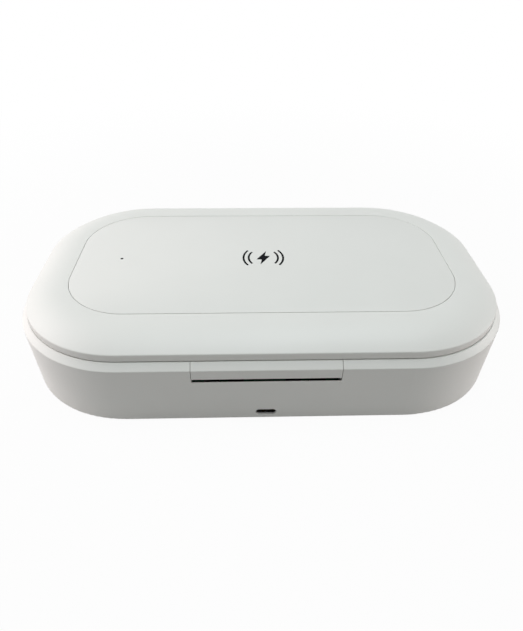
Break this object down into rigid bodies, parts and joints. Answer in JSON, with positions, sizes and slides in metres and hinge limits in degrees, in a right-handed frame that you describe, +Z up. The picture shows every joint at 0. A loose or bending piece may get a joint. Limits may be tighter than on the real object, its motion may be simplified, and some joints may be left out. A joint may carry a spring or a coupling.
{
  "type": "uv sanitizer box",
  "caption": "Rounded box with a hinged lid, reflective cavity with UV lamp tubes for sanitizing a phone, a wireless charging pad on the lid and a push button.",
  "frame": {"origin": "centre of the footprint, on the surface that the rubber feet stand on", "axes": "+X along the long side to the right as seen from the hinge side, +Y from the hinge side (pictured) to the front with the button, +Z up"},
  "size_m": [0.22, 0.134, 0.042],
  "materials": {
    "white_shell": "white satin moulded plastic, fine spark texture",
    "pad_white": "white matte plastic sheet",
    "cover_white": "white matte moulded plastic",
    "grey_rubber": "grey silicone rubber",
    "reflector": "metallised plastic, bright and slightly soft",
    "clear_plastic": "clear acrylic",
    "lamp_glass": "clear quartz glass",
    "lamp_ceramic": "white glazed end caps",
    "clip_white": "white moulded clips",
    "board_green": "green solder mask",
    "part_black": "black moulded components",
    "socket_steel": "plated steel",
    "screw_steel": "zinc-plated steel",
    "pin_steel": "ground steel",
    "magnet_nickel": "nickel-plated magnet",
    "coil_copper": "enamelled copper wire",
    "ferrite": "dark grey ferrite sheet",
    "wire_black": "black wire insulation",
    "light_dark": "smoked light pipe, unlit",
    "button_white": "white satin moulded plastic",
    "plunger_tan": "tan moulded plastic"
  },
  "bodies": {
    "base": {"base_shell": "white_shell", "bottom_cover": "cover_white", "foot_front_left": "grey_rubber", "foot_front_right": "grey_rubber", "foot_rear_left": "grey_rubber", "foot_rear_right": "grey_rubber", "cover_screws": "screw_steel", "inner_tray": "reflector", "phone_rests": "clear_plastic", "base_lamp_front": "lamp_glass", "base_lamp_rear": "lamp_glass", "base_lamp_caps": "lamp_ceramic", "base_lamp_clips": "clip_white", "main_board": "board_green", "board_parts": "part_black", "board_screws": "screw_steel", "socket_shell": "socket_steel", "socket_tongue": "part_black", "switch_board": "board_green", "switch_screws": "screw_steel", "push_switch": "part_black", "lid_sensor": "part_black", "base_magnets": "magnet_nickel", "hinge_pin_left": "pin_steel", "hinge_pin_right": "pin_steel", "base_harness": "wire_black"},
    "lid": {"lid_shell": "white_shell", "charging_pad": "pad_white", "status_light": "light_dark", "charging_coil": "coil_copper", "ferrite_sheet": "ferrite", "charger_board": "board_green", "charger_parts": "part_black", "lid_liner": "reflector", "liner_screws": "screw_steel", "lid_lamp_front": "lamp_glass", "lid_lamp_rear": "lamp_glass", "lid_lamp_caps": "lamp_ceramic", "lid_lamp_clips": "clip_white", "lid_magnets": "magnet_nickel", "hinge_flap": "white_shell", "flap_screws": "screw_steel", "lid_harness": "wire_black", "lid_bumpers": "grey_rubber"},
    "button": {"button_cap": "button_white", "switch_plunger": "plunger_tan"}
  },
  "joints": [
    {"name": "lid_hinge", "type": "hinge", "parent": "base", "child": "lid", "pos_m": [0, -0.0639, 0.0276], "axis": [1, 0, 0], "range_deg": [0, 95]},
    {"name": "button_press", "type": "slide", "parent": "base", "child": "button", "axis": [0, -1, 0], "range_m": [0, 0.0004], "stiffness_N_per_m": 1500, "springref_m": -0.0002}
  ]
}
